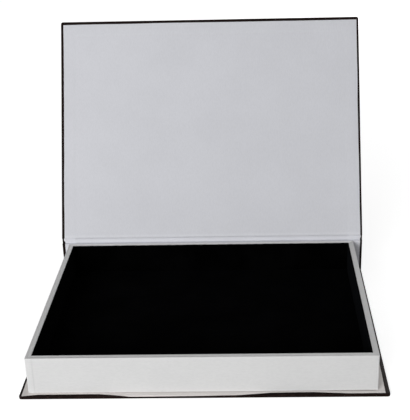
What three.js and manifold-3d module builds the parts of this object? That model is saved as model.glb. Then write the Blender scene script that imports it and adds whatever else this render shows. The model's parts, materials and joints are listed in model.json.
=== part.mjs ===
// Book-shaped presentation box, standing open.
// A case of two boards and a spine, covered in leatherette, carries a shallow paper-covered
// tray lined with velvet. The lid turns on the fold of the cover at the top of the spine.
// Millimetres, +Z up, front towards -Y. The origin is on the floor under the middle of the case.
import * as THREE from 'three';
import { mergeVertices } from 'three/addons/utils/BufferGeometryUtils.js';
import Module from 'manifold-3d';

const wasm = await Module();
wasm.setup();

// Tray, outside
const trayWidth = 312;
const trayDepth = 234;
const trayHeight = 36;

// Case, which reaches past the tray at the sides and the front
const caseSideOverhang = 9;
const caseForeOverhang = 5;
const caseWidth = trayWidth + 2 * caseSideOverhang;
const caseCornerRadius = 2.5;
const boardThickness = 2;
const coverThickness = 0.4;
const liningThickness = 0.3;
const turnInWidth = 14;
const glueLine = 0.1;

// How far the lining paper stays back from the edges of the case
const lidLiningSideInset = 2.1;
const lidLiningForeInset = 2.4;
const spineLiningSideInset = 2;
const baseLiningLeftInset = 1.8;
const baseLiningRightInset = 3.6;
const baseLiningForeInset = 1.1;
const baseLiningWave = 0.7;
const baseLiningWaveCount = 2;
const baseLiningWaveSteps = 24;

// Tray, its place on the case and its walls, floor and paper
const trayShift = -1.2;
const trayCornerRadius = 1.2;
const wallThickness = 4.6;
const floorThickness = 2;
const wrapThickness = 0.25;
const wrapInnerDrop = 18;
const wrapUnderWidth = 12;

// Velvet lining
const velvetThickness = 1;
const velvetRimDrop = 0.4;
const padCardThickness = 1.5;
const padClearance = 0.3;

// Folds of the case: how far each board stops short of the line that the cover folds on
const lidBoardSetback = 1.5;
const spineBoardSetback = 4;
const baseBoardSetback = 1.5;
const liningSetback = 0.9;
const coverSetback = 0.35;
const creaseRadius = 1.5;
const lidClearance = 0.4;
const lidOpening = 116;

// Layers of a covered board, as distances from the outer face of its cover
const boardOuterLevel = coverThickness + glueLine;
const boardInnerLevel = boardOuterLevel + boardThickness;
const turnInInnerLevel = boardInnerLevel + glueLine + coverThickness;
const liningInnerLevel = turnInInnerLevel + glueLine + liningThickness;

// Heights
const trayBottomZ = liningInnerLevel + glueLine;
const rimZ = liningInnerLevel + trayHeight;
const foldZ = rimZ + lidClearance + liningInnerLevel - coverThickness / 2;

// Depths: the case runs from its fore-edge to the outer face of the spine
const caseDepth = caseForeOverhang + trayDepth + glueLine + liningInnerLevel;
const foreY = -caseDepth / 2;
const spineOuterY = caseDepth / 2;
const foldY = spineOuterY - coverThickness / 2;
const trayFrontY = foreY + caseForeOverhang;
const trayBackY = trayFrontY + trayDepth;

// Insets of the tray's layers from its outer face
const wallInset = wrapThickness + glueLine;
const wallInnerInset = wallInset + wallThickness;
const rimWidth = wallInnerInset + glueLine + wrapThickness;
const velvetInset = rimWidth + glueLine;
const velvetInnerInset = velvetInset + velvetThickness;
const wallBottomZ = trayBottomZ + wrapThickness + glueLine;
const floorTopZ = wallBottomZ + floorThickness;
const padCardBottomZ = floorTopZ + glueLine;
const floorVelvetBottomZ = padCardBottomZ + padCardThickness + glueLine;

// A cut reaches this far past the surface that it opens
const cutReach = 1;

const finishes = {
  board: new THREE.MeshStandardMaterial({ color: 0x8c8578, roughness: 0.95, metalness: 0 }),
  leatherette: new THREE.MeshStandardMaterial({ color: 0x1d1210, roughness: 0.5, metalness: 0 }),
  liningPaper: new THREE.MeshStandardMaterial({ color: 0xd2d2d6, roughness: 0.85, metalness: 0 }),
  wrapPaper: new THREE.MeshStandardMaterial({ color: 0xdadad9, roughness: 0.85, metalness: 0 }),
  velvet: new THREE.MeshStandardMaterial({ color: 0x050506, roughness: 1, metalness: 0 }),
};

function toSolid(geometry) {
  const positions = geometry.clone();
  positions.deleteAttribute('normal');
  positions.deleteAttribute('uv');
  const merged = mergeVertices(positions, 1e-5);
  return new wasm.Manifold(new wasm.Mesh({
    numProp: 3,
    vertProperties: new Float32Array(merged.attributes.position.array),
    triVerts: new Uint32Array(merged.index.array),
  }));
}

function toGeometry(solid) {
  const mesh = solid.getMesh();
  const geometry = new THREE.BufferGeometry();
  geometry.setAttribute('position', new THREE.BufferAttribute(mesh.vertProperties, mesh.numProp));
  geometry.setIndex(new THREE.BufferAttribute(mesh.triVerts, 1));
  geometry.computeVertexNormals();
  return geometry;
}

function blockGeometry([x0, x1], [y0, y1], [z0, z1]) {
  const geometry = new THREE.BoxGeometry(x1 - x0, y1 - y0, z1 - z0);
  geometry.translate((x0 + x1) / 2, (y0 + y1) / 2, (z0 + z1) / 2);
  return geometry;
}

const block = (xs, ys, zs) => toSolid(blockGeometry(xs, ys, zs));

// A flat outline in X and Y, given its thickness between two heights
function sheetGeometry(outline, z0, z1) {
  const geometry = new THREE.ExtrudeGeometry(outline, {
    depth: Math.abs(z1 - z0), bevelEnabled: false, curveSegments: 6,
  });
  geometry.translate(0, 0, Math.min(z0, z1));
  return geometry;
}

const sheet = (outline, z0, z1) => toSolid(sheetGeometry(outline, z0, z1));

// A section in Y and Z, carried along X
function alongWidthGeometry(section, x0, x1) {
  const geometry = new THREE.ExtrudeGeometry(section, {
    depth: x1 - x0, bevelEnabled: false, curveSegments: 8,
  });
  const sectionAxes = new THREE.Matrix4().makeBasis(
    new THREE.Vector3(0, 1, 0), new THREE.Vector3(0, 0, 1), new THREE.Vector3(1, 0, 0));
  geometry.applyMatrix4(sectionAxes);
  geometry.translate(x0, 0, 0);
  return geometry;
}

// Rectangle from (x0, y0) to (x1, y1); the corners on the y0 side and the y1 side have their own radii
function rectangle([x0, x1], [y0, y1], frontRadius = 0, backRadius = 0) {
  const shape = new THREE.Shape();
  const quarter = Math.PI / 2;
  shape.moveTo(x0 + frontRadius, y0);
  shape.lineTo(x1 - frontRadius, y0);
  if (frontRadius > 0) {
    shape.absarc(x1 - frontRadius, y0 + frontRadius, frontRadius, -quarter, 0, false);
  }
  shape.lineTo(x1, y1 - backRadius);
  if (backRadius > 0) {
    shape.absarc(x1 - backRadius, y1 - backRadius, backRadius, 0, quarter, false);
  }
  shape.lineTo(x0 + backRadius, y1);
  if (backRadius > 0) {
    shape.absarc(x0 + backRadius, y1 - backRadius, backRadius, quarter, 2 * quarter, false);
  }
  shape.lineTo(x0, y0 + frontRadius);
  if (frontRadius > 0) {
    shape.absarc(x0 + frontRadius, y0 + frontRadius, frontRadius, 2 * quarter, 3 * quarter, false);
  }
  return shape;
}

function polygon(points) {
  return new THREE.Shape(points.map(([x, y]) => new THREE.Vector2(x, y)));
}

function named(name, geometry, finish) {
  const mesh = new THREE.Mesh(geometry, finish.clone());
  mesh.name = name;
  return mesh;
}

const radiusLess = (radius, inset) => Math.max(radius - inset, 0);

// A flat board of the case, inside its cover.
// facing is +1 where the inner face looks up and -1 where it looks down.
function caseBoard(outerZ, facing, foreEdgeY, hingeY) {
  const inset = coverThickness + glueLine;
  const halfWidth = caseWidth / 2 - inset;
  const outline = rectangle([-halfWidth, halfWidth], [foreEdgeY + inset, hingeY],
    radiusLess(caseCornerRadius, inset));
  return sheetGeometry(outline, outerZ + facing * boardOuterLevel, outerZ + facing * boardInnerLevel);
}

// The cover of a flat board: outer sheet, three folded edges and the turn-ins on the inner face.
// The sheet runs on past the board to the fold at its hinge side.
function caseCover(outerZ, facing, foreEdgeY, hingeY, sheetEndY) {
  const half = caseWidth / 2;
  const level = (distance) => outerZ + facing * distance;
  const folded = sheet(rectangle([-half, half], [foreEdgeY, sheetEndY], caseCornerRadius),
    level(0), level(turnInInnerLevel));
  const boardRoom = sheet(
    rectangle([-half + coverThickness, half - coverThickness],
      [foreEdgeY + coverThickness, hingeY + cutReach], radiusLess(caseCornerRadius, coverThickness)),
    level(coverThickness), level(boardInnerLevel + glueLine));
  const window = sheet(
    rectangle([-half + turnInWidth, half - turnInWidth],
      [foreEdgeY + turnInWidth, hingeY + cutReach]),
    level(boardInnerLevel), level(turnInInnerLevel + cutReach));
  const pastBoard = sheet(
    rectangle([-half - cutReach, half + cutReach], [hingeY, sheetEndY + cutReach]),
    level(coverThickness), level(turnInInnerLevel + cutReach));
  return toGeometry(folded.subtract(boardRoom).subtract(window).subtract(pastBoard));
}

// Base of the case
const baseBoardEndY = foldY - baseBoardSetback;
const creaseEndY = spineOuterY - creaseRadius;

function baseBoard() {
  return named('base_board', caseBoard(0, 1, foreY, baseBoardEndY), finishes.board);
}

function baseCover() {
  const geometry = caseCover(0, 1, foreY, baseBoardEndY, creaseEndY);
  return named('base_cover', geometry, finishes.leatherette);
}

// The lining sheet was cut by hand, so its front edge wanders in long waves.
function baseLining() {
  const left = -caseWidth / 2 + baseLiningLeftInset;
  const right = caseWidth / 2 - baseLiningRightInset;
  const front = foreY + baseLiningForeInset;
  const points = [[right, trayBackY], [left, trayBackY]];
  for (let step = 0; step <= baseLiningWaveSteps; step += 1) {
    const along = step / baseLiningWaveSteps;
    const wave = baseLiningWave * Math.cos(2 * Math.PI * baseLiningWaveCount * along);
    points.push([left + (right - left) * along, front - wave]);
  }
  const bottom = turnInInnerLevel + glueLine;
  const geometry = sheetGeometry(polygon(points), bottom, liningInnerLevel);
  return named('base_lining', geometry, finishes.liningPaper);
}

// The cover turns up from the base to the spine in a quarter bend.
function lowerCrease() {
  const section = new THREE.Shape();
  const centreY = creaseEndY;
  section.absarc(centreY, creaseRadius, creaseRadius, -Math.PI / 2, 0, false);
  section.absarc(centreY, creaseRadius, creaseRadius - coverThickness, 0, -Math.PI / 2, true);
  section.closePath();
  const geometry = alongWidthGeometry(section, -caseWidth / 2, caseWidth / 2);
  return named('lower_crease', geometry, finishes.leatherette);
}

// Spine of the case
const spineBoardBottomZ = coverThickness / 2 + spineBoardSetback;
const spineBoardTopZ = foldZ - spineBoardSetback;
const spineLevelY = (distance) => spineOuterY - distance;

function spineBoard() {
  const half = caseWidth / 2 - boardOuterLevel;
  const geometry = blockGeometry([-half, half],
    [spineLevelY(boardInnerLevel), spineLevelY(boardOuterLevel)],
    [spineBoardBottomZ, spineBoardTopZ]);
  return named('spine_board', geometry, finishes.board);
}

function spineCover() {
  const half = caseWidth / 2;
  const outerSheet = block([-half, half],
    [spineLevelY(coverThickness), spineLevelY(0)],
    [creaseRadius, foldZ - coverSetback]);
  const folded = block([-half, half],
    [spineLevelY(turnInInnerLevel), spineLevelY(0)],
    [spineBoardBottomZ, spineBoardTopZ]);
  const pastEnds = [spineBoardBottomZ - cutReach, spineBoardTopZ + cutReach];
  const boardRoom = block([-half + coverThickness, half - coverThickness],
    [spineLevelY(boardInnerLevel + glueLine), spineLevelY(coverThickness)], pastEnds);
  const window = block([-half + turnInWidth, half - turnInWidth],
    [spineLevelY(turnInInnerLevel + cutReach), spineLevelY(boardInnerLevel)], pastEnds);
  const geometry = toGeometry(folded.subtract(boardRoom).subtract(window).add(outerSheet));
  return named('spine_cover', geometry, finishes.leatherette);
}

// The lining paper climbs the spine, steps back over the top of its board and ends near the fold.
function spineLining() {
  const innerY = spineLevelY(liningInnerLevel);
  const onTurnInY = spineLevelY(turnInInnerLevel + glueLine);
  const onCoverY = spineLevelY(coverThickness + glueLine);
  const stepZ = spineBoardTopZ + glueLine;
  const section = polygon([
    [innerY, liningInnerLevel + glueLine],
    [onTurnInY, liningInnerLevel + glueLine],
    [onTurnInY, stepZ],
    [onCoverY, stepZ],
    [onCoverY, foldZ - liningSetback],
    [onCoverY - liningThickness, foldZ - liningSetback],
    [onCoverY - liningThickness, stepZ + liningThickness],
    [innerY, stepZ + liningThickness],
  ]);
  const half = caseWidth / 2 - spineLiningSideInset;
  return named('spine_lining', alongWidthGeometry(section, -half, half), finishes.liningPaper);
}

// The fold itself: the line of the cover that the lid turns on
function hingeFold() {
  const geometry = new THREE.CylinderGeometry(coverThickness / 2, coverThickness / 2, caseWidth, 12);
  geometry.rotateZ(Math.PI / 2);
  geometry.translate(0, foldY, foldZ);
  return named('hinge_fold', geometry, finishes.leatherette);
}

// Tray
function trayOutline(inset, radius = 0) {
  const half = trayWidth / 2 - inset;
  return rectangle([trayShift - half, trayShift + half], [trayFrontY + inset, trayBackY - inset],
    radius, radius);
}

const wallTopZ = rimZ - wrapThickness - glueLine;

// A tray wall, with its outer corners rounded as the tray's are
function trayWall(name, xs, ys) {
  const envelope = sheet(trayOutline(wallInset, radiusLess(trayCornerRadius, wallInset)),
    wallBottomZ, wallTopZ);
  const wall = block(xs, ys, [wallBottomZ - cutReach, wallTopZ + cutReach]).intersect(envelope);
  return named(name, toGeometry(wall), finishes.board);
}

function trayWalls() {
  const left = trayShift - trayWidth / 2;
  const right = trayShift + trayWidth / 2;
  const sideYs = [trayFrontY + wallInnerInset + glueLine, trayBackY - wallInnerInset - glueLine];
  return [
    trayWall('tray_front_wall', [left, right], [trayFrontY, trayFrontY + wallInnerInset]),
    trayWall('tray_rear_wall', [left, right], [trayBackY - wallInnerInset, trayBackY]),
    trayWall('tray_left_wall', [left, left + wallInnerInset], sideYs),
    trayWall('tray_right_wall', [right - wallInnerInset, right], sideYs),
  ];
}

function trayFloor() {
  const outline = trayOutline(wallInnerInset + glueLine);
  return named('tray_floor', sheetGeometry(outline, wallBottomZ, floorTopZ), finishes.board);
}

// The paper goes up the outside of the walls, over the rim and some way down the inside,
// and turns in under the tray.
function trayWrap() {
  const innerEndZ = rimZ - wrapInnerDrop;
  const outer = sheet(trayOutline(0, trayCornerRadius), trayBottomZ, rimZ);
  const wallRoomOutline = trayOutline(wrapThickness, radiusLess(trayCornerRadius, wrapThickness));
  const mouth = sheet(trayOutline(rimWidth), innerEndZ - cutReach, rimZ + cutReach);
  const lowerRoom = sheet(wallRoomOutline, trayBottomZ + wrapThickness, innerEndZ);
  const upperRoom = sheet(wallRoomOutline, innerEndZ, rimZ - wrapThickness)
    .subtract(sheet(trayOutline(rimWidth - wrapThickness), innerEndZ, rimZ));
  const underside = sheet(trayOutline(wrapUnderWidth), trayBottomZ - cutReach,
    trayBottomZ + wrapThickness + cutReach);
  const wrap = outer.subtract(mouth).subtract(lowerRoom).subtract(upperRoom).subtract(underside);
  return named('tray_wrap', toGeometry(wrap), finishes.wrapPaper);
}

// Velvet: front and rear strips run the whole width, side strips fit between them
function velvetStrips() {
  const left = trayShift - trayWidth / 2;
  const right = trayShift + trayWidth / 2;
  const zs = [floorTopZ + glueLine, rimZ - velvetRimDrop];
  const acrossXs = [left + velvetInset, right - velvetInset];
  const sideYs = [trayFrontY + velvetInnerInset + glueLine, trayBackY - velvetInnerInset - glueLine];
  const strip = (name, xs, ys) => named(name, blockGeometry(xs, ys, zs), finishes.velvet);
  return [
    strip('front_velvet', acrossXs, [trayFrontY + velvetInset, trayFrontY + velvetInnerInset]),
    strip('rear_velvet', acrossXs, [trayBackY - velvetInnerInset, trayBackY - velvetInset]),
    strip('left_velvet', [left + velvetInset, left + velvetInnerInset], sideYs),
    strip('right_velvet', [right - velvetInnerInset, right - velvetInset], sideYs),
  ];
}

function floorPad() {
  const outline = trayOutline(velvetInnerInset + padClearance);
  const cardTopZ = padCardBottomZ + padCardThickness;
  const velvetTopZ = floorVelvetBottomZ + velvetThickness;
  return [
    named('floor_card', sheetGeometry(outline, padCardBottomZ, cardTopZ), finishes.board),
    named('floor_velvet', sheetGeometry(outline, floorVelvetBottomZ, velvetTopZ), finishes.velvet),
  ];
}

// Lid, drawn closed with the fold as its origin and turned open about it
const lidOuterZ = coverThickness / 2;
const lidForeY = foreY - foldY;

function lidBoard() {
  return named('lid_board', caseBoard(lidOuterZ, -1, lidForeY, -lidBoardSetback), finishes.board);
}

function lidCover() {
  const geometry = caseCover(lidOuterZ, -1, lidForeY, -lidBoardSetback, -coverSetback);
  return named('lid_cover', geometry, finishes.leatherette);
}

// The lining paper covers the inner face, folds over the board's hinge edge and ends near the fold.
function lidLining() {
  const innerZ = lidOuterZ - liningInnerLevel;
  const onTurnInZ = lidOuterZ - turnInInnerLevel - glueLine;
  const onCoverZ = lidOuterZ - coverThickness - glueLine;
  const edgeY = -lidBoardSetback + glueLine;
  const startY = lidForeY + lidLiningForeInset;
  const section = polygon([
    [startY, innerZ],
    [edgeY + liningThickness, innerZ],
    [edgeY + liningThickness, onCoverZ - liningThickness],
    [-liningSetback, onCoverZ - liningThickness],
    [-liningSetback, onCoverZ],
    [edgeY, onCoverZ],
    [edgeY, onTurnInZ],
    [startY, onTurnInZ],
  ]);
  const half = caseWidth / 2 - lidLiningSideInset;
  return named('lid_lining', alongWidthGeometry(section, -half, half), finishes.liningPaper);
}

const lid = new THREE.Group();
lid.add(lidBoard(), lidCover(), lidLining());
lid.position.set(0, foldY, foldZ);
lid.rotation.x = -THREE.MathUtils.degToRad(lidOpening);

const spine = new THREE.Group();
spine.add(spineBoard(), spineCover(), spineLining(), hingeFold());

const base = new THREE.Group();
base.add(baseBoard(), baseCover(), baseLining(), lowerCrease());

const tray = new THREE.Group();
tray.add(...trayWalls(), trayFloor(), trayWrap(), ...velvetStrips(), ...floorPad());

const bookBox = new THREE.Group();
bookBox.add(base, spine, tray, lid);

export default bookBox;
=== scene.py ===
# Decorative book box, standing open: a leatherette case on two boards and a spine, lined with
# white paper, and a shallow paper-covered tray lined with black velvet.
# Sizes below are in millimetres; Blender gets metres when a mesh is made.
import json
import math
import bmesh
import bpy
import numpy as np
from mathutils import Matrix, Vector


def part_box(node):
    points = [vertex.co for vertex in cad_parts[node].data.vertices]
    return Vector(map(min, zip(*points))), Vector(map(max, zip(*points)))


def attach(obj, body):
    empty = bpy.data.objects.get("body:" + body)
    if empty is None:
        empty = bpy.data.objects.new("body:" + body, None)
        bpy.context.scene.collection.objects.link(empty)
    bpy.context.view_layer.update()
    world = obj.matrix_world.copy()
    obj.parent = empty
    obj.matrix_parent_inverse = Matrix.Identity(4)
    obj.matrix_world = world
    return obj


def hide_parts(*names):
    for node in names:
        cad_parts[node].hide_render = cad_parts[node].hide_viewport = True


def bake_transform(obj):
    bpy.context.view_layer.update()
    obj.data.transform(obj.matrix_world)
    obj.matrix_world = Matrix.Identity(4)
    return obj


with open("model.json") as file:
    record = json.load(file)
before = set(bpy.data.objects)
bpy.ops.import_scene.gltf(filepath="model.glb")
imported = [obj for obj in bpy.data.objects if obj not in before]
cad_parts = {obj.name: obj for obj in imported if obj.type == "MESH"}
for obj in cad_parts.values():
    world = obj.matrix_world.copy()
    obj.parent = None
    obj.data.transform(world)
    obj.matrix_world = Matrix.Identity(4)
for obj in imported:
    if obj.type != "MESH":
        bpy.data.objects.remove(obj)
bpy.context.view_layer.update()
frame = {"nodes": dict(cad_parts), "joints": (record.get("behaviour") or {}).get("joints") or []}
mm = 0.001
print("frame loaded,", len(frame["nodes"]), "nodes")


def extent(node):
    # lowest and highest corner of a CAD node, in millimetres
    low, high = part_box(node)
    return np.array(low) / mm, np.array(high) / mm


# Lines of the case, all read from the frame
lidHinge = frame["joints"][0]
foldY, foldZ = lidHinge["pos_m"][1] / mm, lidHinge["pos_m"][2] / mm
opening = math.radians(lidHinge["range_deg"][1])
caseHalf = extent("base_cover")[1][0]
foreY = extent("base_cover")[0][1]
spineY = extent("spine_cover")[1][1]
skin = spineY - foldY                              # from the axis to the outer face of the cover
creaseBend = extent("lower_crease")[1][2]
turnInTop = extent("base_cover")[1][2]
liningTop = extent("base_lining")[1][2]
spineBoardLow, spineBoardHigh = extent("spine_board")[0][2], extent("spine_board")[1][2]


def smooth(t):
    # 3t^2 - 2t^3 between 0 and 1, flat outside
    t = np.clip(t, 0, 1)
    return t * t * (3 - 2 * t)


def wander(t, length, seed):
    # a hand's unsteady line: the sum of five sines of t, each shorter than the last, between -1 and 1
    rng = np.random.default_rng(seed)
    order = np.arange(1, 6)
    phase = rng.uniform(0, 2 * math.pi, 5)
    stretch = rng.uniform(0.8, 1.2, 5)
    waves = np.sin(2 * math.pi * np.multiply.outer(t, order * stretch) / length + phase)
    return (waves / order).sum(-1) / 2.3


def ripple(x, y, length, seed):
    # soft unevenness of a sheet: the sum of seven plane waves of x and y in seeded directions
    rng = np.random.default_rng(seed)
    turn = rng.uniform(0, 2 * math.pi, 7)
    phase = rng.uniform(0, 2 * math.pi, 7)
    size = length * rng.uniform(0.6, 1.5, 7)
    along = np.multiply.outer(x, np.cos(turn) / size) + np.multiply.outer(y, np.sin(turn) / size)
    return np.sin(2 * math.pi * along + phase).sum(-1) / 7


def spread(*stops):
    # sample places through the stops (place, step after it), without doubles
    parts = []
    for (start, step), (end, _) in zip(stops[:-1], stops[1:]):
        count = max(1, int(math.ceil(abs(end - start) / step)))
        parts.append(np.linspace(start, end, count + 1)[:-1])
    return np.concatenate(parts + [np.array([stops[-1][0]])])


def place(x, y, z):
    # three arrays of any matching shapes as points
    return np.stack(np.broadcast_arrays(x, y, z), -1).astype(float)


def quads(rows, columns, closeRows, closeColumns, first):
    # corner numbers of the quads of a grid whose points are numbered row by row from first
    r = np.arange(rows if closeRows else rows - 1)
    c = np.arange(columns if closeColumns else columns - 1)
    r, c = np.meshgrid(r, c, indexing="ij")
    nextR, nextC = (r + 1) % rows, (c + 1) % columns
    corners = np.stack([r * columns + c, r * columns + nextC,
                        nextR * columns + nextC, nextR * columns + c], -1)
    return corners.reshape(-1, 4) + first


def shell(name, *grids, bends=34):
    # one closed mesh from grids of points: touching edges are merged, open ends are filled and
    # the faces turned outward; an edge that bends by more than bends degrees stays sharp
    points, faces, tones, first = [], [], [], 0
    for grid in grids:
        where = grid["points"]
        rows, columns = where.shape[:2]
        faces += quads(rows, columns, grid.get("closeRows", False),
                       grid.get("closeColumns", False), first).tolist()
        points.append(where.reshape(-1, 3))
        tones.append(np.broadcast_to(grid.get("wearAndPaintedShading", 0.0), (rows, columns)).ravel())
        first += rows * columns
    mesh = bpy.data.meshes.new(name)
    mesh.from_pydata(np.concatenate(points) * mm, [], faces)
    # the attribute holds real edge wear on the leatherette, and painted shade and painted light on the
    # papers
    tone = mesh.attributes.new("wearAndPaintedShading", "FLOAT", "POINT")
    tone.data.foreach_set("value", np.concatenate(tones).astype(np.float32))
    work = bmesh.new()
    work.from_mesh(mesh)
    bmesh.ops.remove_doubles(work, verts=work.verts, dist=1e-7)
    bmesh.ops.dissolve_degenerate(work, edges=work.edges, dist=1e-8)
    bmesh.ops.holes_fill(work, edges=[edge for edge in work.edges if edge.is_boundary], sides=0)
    bmesh.ops.recalc_face_normals(work, faces=work.faces)
    work.to_mesh(mesh)
    work.free()
    mesh.polygons.foreach_set("use_smooth", np.ones(len(mesh.polygons), bool))
    mesh.set_sharp_from_angle(angle=math.radians(bends))
    piece = bpy.data.objects.new(name, mesh)
    bpy.context.scene.collection.objects.link(piece)
    return piece


def newMaterial(name, colour, roughness, specular, sheen=0.0, sheenRoughness=0.5, sheenTint=None):
    # a Principled material with these plain values; gives it, its node tree and its shader
    made = bpy.data.materials.new(name)
    made.use_nodes = True
    shader = made.node_tree.nodes["Principled BSDF"]
    shader.inputs["Base Color"].default_value = (*colour, 1)
    shader.inputs["Roughness"].default_value = roughness
    shader.inputs["Specular IOR Level"].default_value = specular
    shader.inputs["Sheen Weight"].default_value = sheen
    shader.inputs["Sheen Roughness"].default_value = sheenRoughness
    if sheenTint:
        shader.inputs["Sheen Tint"].default_value = (*sheenTint, 1)
    made.diffuse_color = (*colour, 1)
    return made, made.node_tree, shader


def noiseNode(tree, scale, detail=3.0, roughness=0.55, stretch=None, kind="ShaderNodeTexNoise"):
    # a noise of Object coordinates; scale is in waves per metre, and a stretch under 1 lengthens
    # them along its axis
    coordinates = tree.nodes.new("ShaderNodeTexCoord")
    mapping = tree.nodes.new("ShaderNodeMapping")
    mapping.inputs["Scale"].default_value = stretch or (1, 1, 1)
    tree.links.new(coordinates.outputs["Object"], mapping.inputs["Vector"])
    texture = tree.nodes.new(kind)
    texture.inputs["Scale"].default_value = scale
    if kind == "ShaderNodeTexNoise":
        texture.inputs["Detail"].default_value = detail
        texture.inputs["Roughness"].default_value = roughness
    tree.links.new(mapping.outputs["Vector"], texture.inputs["Vector"])
    return texture


def ramp(tree, source, low, high, colours):
    # colours from the first where source is at or under low to the last at or over high
    node = tree.nodes.new("ShaderNodeValToRGB")
    node.color_ramp.elements[0].position = low
    node.color_ramp.elements[1].position = high
    node.color_ramp.elements[0].color = (*colours[0], 1)
    node.color_ramp.elements[1].color = (*colours[1], 1)
    tree.links.new(source, node.inputs["Fac"])
    return node.outputs["Color"]


def remap(tree, source, fromLow, fromHigh, low, high):
    # source mapped in a straight line from one range to another
    node = tree.nodes.new("ShaderNodeMapRange")
    node.inputs["From Min"].default_value = fromLow
    node.inputs["From Max"].default_value = fromHigh
    node.inputs["To Min"].default_value = low
    node.inputs["To Max"].default_value = high
    tree.links.new(source, node.inputs["Value"])
    return node.outputs["Result"]


def mixColour(tree, factor, first, second, way="MIX"):
    # first, with second laid over it as far as factor says
    node = tree.nodes.new("ShaderNodeMix")
    node.data_type = "RGBA"
    node.blend_type = way
    for value, socket in ((factor, node.inputs[0]), (first, node.inputs[6]), (second, node.inputs[7])):
        if isinstance(value, bpy.types.NodeSocket):
            tree.links.new(value, socket)
        else:
            socket.default_value = value if isinstance(value, float) else (*value, 1)
    return node.outputs[2]


def bumps(tree, shader, layers):
    # height layers (source, depth in millimetres, strength), one over the other
    normal = None
    for source, depth, strength in layers:
        node = tree.nodes.new("ShaderNodeBump")
        node.inputs["Distance"].default_value = depth * mm
        node.inputs["Strength"].default_value = strength
        tree.links.new(source, node.inputs["Height"])
        if normal:
            tree.links.new(normal, node.inputs["Normal"])
        normal = node.outputs["Normal"]
    tree.links.new(normal, shader.inputs["Normal"])


leatherLook = {
    "dark": (0.0042, 0.0019, 0.0015),
    "light": (0.0115, 0.0060, 0.0050),
    "worn": (0.034, 0.020, 0.016),
    "drift": 14,              # waves per metre, like the next three
    "grain": 950,
    "pores": 2600,
    "scuffs": 240,
    "driftDepth": 0.25,       # millimetres, like the next two
    "grainDepth": 0.07,
    "poreDepth": 0.02,
    "roughness": (0.40, 0.58),
    "specular": 0.035,
}


def leatherMaterial():
    # pebbled cells from a Voronoi noise, soft colour drift, and scuffs where the edge is bent
    made, tree, shader = newMaterial("leatherette", leatherLook["dark"], 0.5, leatherLook["specular"])
    drift = noiseNode(tree, leatherLook["drift"], 4)
    cells = noiseNode(tree, leatherLook["grain"], kind="ShaderNodeTexVoronoi")
    cells.feature = "SMOOTH_F1"
    pores = noiseNode(tree, leatherLook["pores"], 2)
    scuff = noiseNode(tree, leatherLook["scuffs"], 5, 0.7)
    tone = ramp(tree, drift.outputs["Fac"], 0.3, 0.7, (leatherLook["dark"], leatherLook["light"]))
    wearAndPaintedShading = tree.nodes.new("ShaderNodeAttribute")
    wearAndPaintedShading.attribute_name = "wearAndPaintedShading"
    scuffed = tree.nodes.new("ShaderNodeMath")
    scuffed.operation = "MULTIPLY"
    tree.links.new(wearAndPaintedShading.outputs["Fac"], scuffed.inputs[0])
    tree.links.new(remap(tree, scuff.outputs["Fac"], 0.5, 0.72, 0, 0.8), scuffed.inputs[1])
    tree.links.new(mixColour(tree, scuffed.outputs[0], tone, leatherLook["worn"]),
                   shader.inputs["Base Color"])
    rough = remap(tree, cells.outputs["Distance"], 0.1, 0.7, *leatherLook["roughness"])
    tree.links.new(rough, shader.inputs["Roughness"])
    bumps(tree, shader, [(cells.outputs["Distance"], leatherLook["grainDepth"], 0.55),
                         (pores.outputs["Fac"], leatherLook["poreDepth"], 0.4),
                         (drift.outputs["Fac"], leatherLook["driftDepth"], 0.2)])
    return made


# what all papers share: waves per metre, depths in millimetres, how dark the darkest fibre is and
# how far the roughness goes to each side of its mean
paperGrain = {"cloud": 22, "fibre": 900, "tooth": 3200, "fibreDepth": 0.03, "toothDepth": 0.012,
              "fleck": 0.955, "roughnessSpan": 0.06}
liningLook = {"colour": (0.714, 0.720, 0.762), "mottle": 0.010, "roughness": 0.78}
# the base's lining is the same paper painted warmer and lighter, standing in for bounce light from the
# brown cover and the tray
warmLitLiningLook = {"colour": (0.801, 0.764, 0.743), "mottle": 0.018, "roughness": 0.80}
wrapLook = {"colour": (0.718, 0.718, 0.717), "mottle": 0.009, "roughness": 0.82}


def paperMaterial(name, look, fibreStretch):
    # short pressed fibres as a stretched noise, a fine tooth, and a slow cloudiness in the colour;
    # the mesh's attribute lightens the paper where it is above 0 and darkens it where it is below,
    # mostly painted shade and painted light
    made, tree, shader = newMaterial(name, look["colour"], look["roughness"], specular=0.25)
    cloud = noiseNode(tree, paperGrain["cloud"], 4)
    fibre = noiseNode(tree, paperGrain["fibre"], 3, 0.6, stretch=fibreStretch)
    tooth = noiseNode(tree, paperGrain["tooth"], 2)
    dark = tuple(c * (1 - 2 * look["mottle"]) for c in look["colour"])
    light = tuple(c * (1 + look["mottle"]) for c in look["colour"])
    clouds = ramp(tree, cloud.outputs["Fac"], 0.35, 0.65, (dark, light))
    flecks = ramp(tree, fibre.outputs["Fac"], 0.30, 0.62, ([paperGrain["fleck"]] * 3, (1, 1, 1)))
    # painted shade and painted light on the paper, read from the mesh's attribute
    wearAndPaintedShading = tree.nodes.new("ShaderNodeAttribute")
    wearAndPaintedShading.attribute_name = "wearAndPaintedShading"
    shade = remap(tree, wearAndPaintedShading.outputs["Fac"], -1, 1, 0.5, 1.5)
    flecked = mixColour(tree, 1.0, clouds, flecks, "MULTIPLY")
    tree.links.new(mixColour(tree, 1.0, flecked, shade, "MULTIPLY"), shader.inputs["Base Color"])
    rough, span = look["roughness"], paperGrain["roughnessSpan"]
    tree.links.new(remap(tree, fibre.outputs["Fac"], 0.3, 0.7, rough - span, rough + span),
                   shader.inputs["Roughness"])
    bumps(tree, shader, [(fibre.outputs["Fac"], paperGrain["fibreDepth"], 0.35),
                         (tooth.outputs["Fac"], paperGrain["toothDepth"], 0.35)])
    return made


boardLook = {
    "dark": (0.20, 0.185, 0.16),
    "light": (0.30, 0.28, 0.245),
    "pulp": 420,              # waves per metre, like the next one
    "fleck": 1500,
    "pulpDepth": 0.08,        # millimetres
    "fleckDepth": 0.03,
}


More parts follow.
